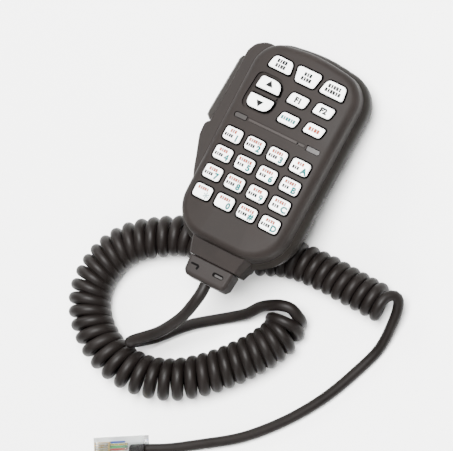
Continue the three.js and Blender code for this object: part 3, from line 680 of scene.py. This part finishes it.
# %% Plug body, wires and the end of the jacket
PLUG_TURN = math.pi + 0.504
PLUG = Matrix.Translation((-2.6 * MM, -128.75 * MM, 0)) @ Matrix.Rotation(PLUG_TURN, 4, "Z")
ALONG = Matrix.Rotation(math.pi / 2, 4, "Y")
WIRE_START, WIRE_END = 9.4 * MM, 15.9 * MM
WIRE_PITCH = 1.02 * MM
WIRE_HEIGHT = 1.9 * MM
WIRE_RADIUS = 0.42 * MM


def plug_rod(name, material, start, end, y, z, radius):
    """A rod along the plug, with eased ends, that rides with the cord."""
    def draw(bm):
        bmesh.ops.create_cone(
            bm, cap_ends=True, segments=16, radius1=radius, radius2=radius, depth=end - start)
        ends = [e for e in bm.edges if e.calc_face_angle(0) > 1]
        bmesh.ops.bevel(
            bm, geom=ends, offset=radius * 0.3, affect="EDGES", segments=2, profile=0.5,
            material=-1,
        )

    piece = new_piece(name, draw, PLUG @ Matrix.Translation(((start + end) / 2, y, z)) @ ALONG)
    piece.data.materials.append(material)
    piece.data.shade_smooth()
    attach(piece, "microphone")
    return piece


plug_pieces = [
    refine("plug_body", [CLEAR], width=0.25 * MM),
    refine("plug_latch", [CLEAR], width=0.2 * MM),
    nodes["plug_contacts"],
    plug_rod("jacket_end", CORD, -0.1 * MM, 7.2 * MM, 0, 3.2 * MM, 2.3 * MM),
]
for i, (colour, tint) in enumerate(WIRE_COLOURS.items()):
    ink = moulded(colour + " wire", tint, tuple(1.12 * c for c in tint), (0.35, 0.45), 900, 0.00001)
    across = (i - (len(WIRE_COLOURS) - 1) / 2) * WIRE_PITCH
    plug_pieces.append(plug_rod(
        "plug_wire_" + colour, ink, WIRE_START, WIRE_END, across, WIRE_HEIGHT, WIRE_RADIUS))
print("pieces on the cord's far end:", len(plug_pieces))

# %% [markdown]
# ## Printing on the keys
# The legends are pad printed on the caps. Digits, letters and arrows are real lettering; the
# small words of a radio's menus are only suggested by rows of tiny blocks. Each legend is made
# of closed skins less than a tenth of a millimetre thick, draped over the crown of its cap.

# %% Inks
INKS = [
    moulded(name, dark, light, (0.5, 0.6), 900, 0.000005, Specular_IOR_Level=0.05)
    for name, dark, light in (
        ("teal ink", (0.001, 0.070, 0.072), (0.002, 0.085, 0.088)),
        ("orange ink", (0.17, 0.028, 0.012), (0.20, 0.036, 0.016)),
        ("black ink", (0.004, 0.004, 0.004), (0.006, 0.006, 0.006)),
    )
]
TEAL, ORANGE, BLACK = range(3)
SKIN = 0.04 * MM  # half of a legend's thickness


# %% Drawing with ink
def add_text(bm, text, size, x, y, ink, bold=0.0):
    """Lettering centred on x, y, from a text curve."""
    font = bpy.data.curves.new("legend", "FONT")
    font.body = text
    font.size = size
    font.offset = bold
    font.extrude = SKIN
    font.resolution_u = 3
    font.align_x = "CENTER"
    font.align_y = "CENTER"
    holder = bpy.data.objects.new("legend", font)
    bpy.context.scene.collection.objects.link(holder)
    bpy.context.view_layer.update()
    evaluated = holder.evaluated_get(bpy.context.evaluated_depsgraph_get())
    mesh = bpy.data.meshes.new_from_object(evaluated)
    xs = [v.co.x for v in mesh.vertices]
    ys = [v.co.y for v in mesh.vertices]
    middle_x = (min(xs) + max(xs)) / 2
    middle_y = (min(ys) + max(ys)) / 2
    mesh.transform(Matrix.Translation((x - middle_x, y - middle_y, 0)))
    before = len(bm.faces)
    bm.from_mesh(mesh)
    bm.faces.ensure_lookup_table()
    for face in bm.faces[before:]:
        face.material_index = ink
    bpy.data.objects.remove(holder)
    bpy.data.meshes.remove(mesh)


def add_block(bm, x, y, width, height, ink):
    """A small printed bar centred on x, y."""
    place = Matrix.Translation((x, y, 0)) @ Matrix.Diagonal((width, height, 2 * SKIN, 1))
    made = bmesh.ops.create_cube(bm, size=1, matrix=place)
    for face in {f for v in made["verts"] for f in v.link_faces}:
        face.material_index = ink


def add_word(bm, x, y, letters, height, ink):
    """A row of blocks that reads as a tiny word: every third block is a thin stroke."""
    pitch = height * 0.74
    for i in range(letters):
        wide = height * (0.46 if i % 3 == 1 else 0.64)
        add_block(bm, x + (i - (letters - 1) / 2) * pitch, y, wide, height, ink)


def add_arrow(bm, x, y, size, ink):
    """A triangle that points up, or down for a negative size."""
    place = Matrix.Translation((x, y, -SKIN)) @ Matrix.Diagonal((size, size * 0.9, 1, 1))
    made = bmesh.ops.create_circle(bm, cap_ends=True, segments=3, radius=1, matrix=place)
    face = made["verts"][0].link_faces[0]
    raised = bmesh.ops.extrude_face_region(bm, geom=[face])
    top = [g for g in raised["geom"] if isinstance(g, bmesh.types.BMVert)]
    bmesh.ops.translate(bm, verts=top, vec=(0, 0, 2 * SKIN))
    for part in {f for v in [*made["verts"], *top] for f in v.link_faces}:
        part.material_index = ink


# %% Legends, key by key
def print_key(key, draw):
    """Runs draw(bm, x, y) at the middle of a key's cap and drapes the result over it."""
    low, high = unit_box(key)
    x, y = (low.x + high.x) / 2, (low.y + high.y) / 2
    bm = bmesh.new()
    draw(bm, x, y)
    bmesh.ops.remove_doubles(bm, verts=bm.verts, dist=0.001 * MM)
    for vert in bm.verts:
        vert.co.z += crown(vert.co.x) + KEY_PROUD - 0.02 * MM
    bmesh.ops.recalc_face_normals(bm, faces=bm.faces)
    bmesh.ops.transform(bm, matrix=UNIT, verts=bm.verts)
    mesh = bpy.data.meshes.new(key + "_legend")
    bm.to_mesh(mesh)
    bm.free()
    for ink in INKS:
        mesh.materials.append(ink)
    piece = bpy.data.objects.new(key + "_legend", mesh)
    bpy.context.scene.collection.objects.link(piece)
    settle(piece, nodes[key]["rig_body"])


WORD_HEIGHT = 1.35 * MM
MARK_SIZE = 3.5 * MM
BOLD = 0.21 * MM
# The star is small in its letter box, and too heavy a stroke closes the nine.
OTHER_MARKS = {"*": (6.2 * MM, 0.04 * MM), "9": (MARK_SIZE, 0.14 * MM)}


def pad_legend(mark, upper, lower):
    """A keypad cap: a tiny orange word above, a dark one below it, and a teal mark."""
    def draw(bm, x, y):
        add_word(bm, x - 0.2 * MM, y + 1.35 * MM, upper, WORD_HEIGHT, ORANGE)
        if lower:
            add_word(bm, x - 1.5 * MM, y - 0.75 * MM, lower, WORD_HEIGHT, BLACK)
        size, bold = OTHER_MARKS.get(mark, (MARK_SIZE, BOLD))
        add_text(bm, mark, size, x + 2.3 * MM, y - 0.95 * MM, TEAL, bold)
    return draw


PAD_LEGENDS = {
    "key_1": ("1", 3, 4), "key_2": ("2", 6, 4), "key_3": ("3", 5, 4), "key_a": ("A", 3, 3),
    "key_4": ("4", 4, 4), "key_5": ("5", 6, 3), "key_6": ("6", 5, 3), "key_b": ("B", 5, 3),
    "key_7": ("7", 4, 4), "key_8": ("8", 6, 4), "key_9": ("9", 4, 4), "key_c": ("C", 5, 3),
    "key_star": ("*", 5, 0), "key_0": ("0", 5, 0), "key_hash": ("#", 6, 4), "key_d": ("D", 4, 4),
}
for key, words in PAD_LEGENDS.items():
    print_key(key, pad_legend(*words))


def two_words(upper, lower):
    """Two dark words, one above the other."""
    def draw(bm, x, y):
        add_word(bm, x, y + 1.05 * MM, upper, 1.6 * MM, BLACK)
        add_word(bm, x, y - 1.0 * MM, lower, 1.6 * MM, BLACK)
    return draw


def function_mark(text):
    """Dark letters in the middle of a cap."""
    return lambda bm, x, y: add_text(bm, text, 3.2 * MM, x, y, BLACK, BOLD)


print_key("left_top_key", two_words(4, 4))
print_key("middle_top_key", two_words(3, 4))
print_key("right_top_key", two_words(5, 6))
print_key("up_key", lambda bm, x, y: add_arrow(bm, x, y + 0.1 * MM, 2.0 * MM, BLACK))
print_key("down_key", lambda bm, x, y: add_arrow(bm, x, y, -2.0 * MM, BLACK))
print_key("first_function_key", function_mark("F1"))
print_key("second_function_key", function_mark("F2"))
print_key("tone_key", lambda bm, x, y: add_word(bm, x, y, 6, 1.5 * MM, TEAL))
print_key("function_key", lambda bm, x, y: add_word(bm, x, y, 4, 1.65 * MM, ORANGE))
print("keys printed:", len(keys))

# %% [markdown]
# ## The strip between the lamps
# A thin inlay runs across the face from one lamp to the other and hides the sound channel. It
# is one long bar, cut into short lengths so that it bends over the crown of the face. Its finish
# is lighter than the case: partly the strip's own tone, partly a painted highlight along it. A
# small dark disc near its right end is the hole that the sound enters by, its darkness painted
# shade inside the hole.

# %% Strip
# Lighter than the case: partly the strip's own tone, partly a painted highlight along it.
STRIP = moulded(
    "strip tone with painted highlight", (0.017, 0.0143, 0.0132), (0.022, 0.0185, 0.0171), (0.5, 0.6), 1500, 0.00001,
    Specular_IOR_Level=0.1,
)


def is_lengthways(edge):
    return abs(edge.verts[0].co.x - edge.verts[1].co.x) > 1 * MM


def add_strip():
    """The bar, bent over the crown and laid between the two lenses."""
    left = unit_box("left_lamp_lens")[1].x
    right = unit_box("right_lamp_lens")[0].x
    y = (unit_box("left_lamp_lens")[0].y + unit_box("left_lamp_lens")[1].y) / 2
    bm = bmesh.new()
    place = Matrix.Translation(((left + right) / 2, y, -0.2 * MM)) @ Matrix.Diagonal(
        (right - left - 1.0 * MM, 1.0 * MM, 0.34 * MM, 1))
    bmesh.ops.create_cube(bm, size=1, matrix=place)
    bmesh.ops.bevel(
        bm, geom=[e for e in bm.edges if is_lengthways(e)], offset=0.1 * MM, affect="EDGES",
        segments=2, profile=0.5, material=-1,
    )
    lengthways = [e for e in bm.edges if is_lengthways(e)]
    bmesh.ops.subdivide_edges(bm, edges=lengthways, cuts=20, use_grid_fill=True)
    for vert in bm.verts:
        vert.co.z += crown(vert.co.x)
    bmesh.ops.recalc_face_normals(bm, faces=bm.faces)
    bmesh.ops.transform(bm, matrix=UNIT, verts=bm.verts)
    mesh = bpy.data.meshes.new("lamp_strip")
    bm.to_mesh(mesh)
    bm.free()
    mesh.materials.append(STRIP)
    piece = bpy.data.objects.new("lamp_strip", mesh)
    bpy.context.scene.collection.objects.link(piece)
    settle(piece, "microphone")


HOLE_X, HOLE_Y = 10.3 * MM, 15.75 * MM
HOLE_RADIUS = 0.4 * MM
add_strip()
# The sound hole is a thin near-black disc: painted shade for the inside of the hole.
sound_hole = new_piece(
    "sound_hole",
    lambda bm: bmesh.ops.create_cone(
        bm, cap_ends=True, segments=16, radius1=HOLE_RADIUS, radius2=HOLE_RADIUS,
        depth=0.1 * MM,
    ),
    UNIT @ Matrix.Translation((HOLE_X, HOLE_Y, crown(HOLE_X))),
)
sound_hole.data.materials.append(PAINTED_SHADE)
settle(sound_hole, "microphone")
